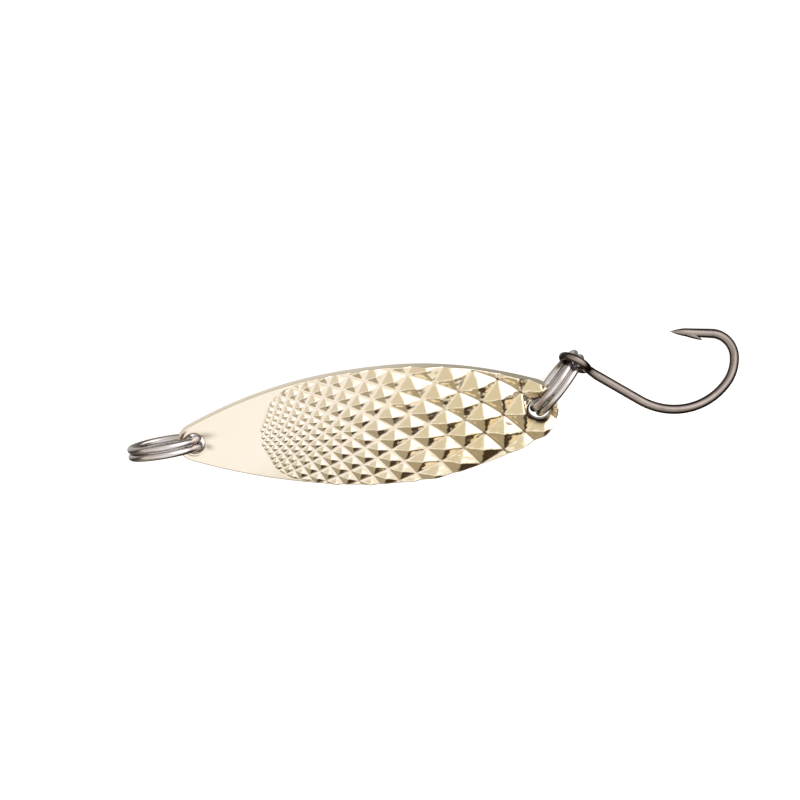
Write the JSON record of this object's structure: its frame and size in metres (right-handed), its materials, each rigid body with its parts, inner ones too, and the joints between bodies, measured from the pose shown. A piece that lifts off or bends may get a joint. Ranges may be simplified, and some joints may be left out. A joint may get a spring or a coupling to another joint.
{
  "type": "spoon fishing lure",
  "caption": "Slim curved metal spoon lure with a faceted face, a split ring at nose and tail, and a single barbed hook.",
  "frame": {"origin": "centre of the nose split ring, where the line is tied", "axes": "+X from nose to tail along the blade, +Y across the blade, +Z out of the faceted face"},
  "size_m": [0.0566, 0.011, 0.0071],
  "materials": {
    "gold_plate": "bright pale gold plating over struck brass",
    "nickel_ring": "bright nickel-plated spring wire",
    "dark_nickel_hook": "smoked dark nickel on hook wire"
  },
  "bodies": {
    "blade": {"blade": "gold_plate"},
    "nose_ring": {"nose_split_ring": "nickel_ring"},
    "tail_ring": {"tail_split_ring": "nickel_ring"},
    "hook": {"single_hook": "dark_nickel_hook"}
  },
  "joints": [
    {"name": "nose_ring_swivel", "type": "hinge", "parent": "blade", "child": "nose_ring", "pos_m": [0.00277, 0.00022, 0], "axis": [0, 0, 1], "range_deg": [-120, 120]},
    {"name": "tail_ring_swivel", "type": "hinge", "parent": "blade", "child": "tail_ring", "pos_m": [0.03441, 0.00022, -0.00018], "axis": [0, 0, 1], "range_deg": [-100, 20]},
    {"name": "hook_slide_round_ring", "type": "hinge", "parent": "tail_ring", "child": "hook", "pos_m": [0.03621, 0.00242, -0.00018], "axis": [0.7367, -0.6727, 0.0698], "range_deg": [-100, 20]}
  ]
}
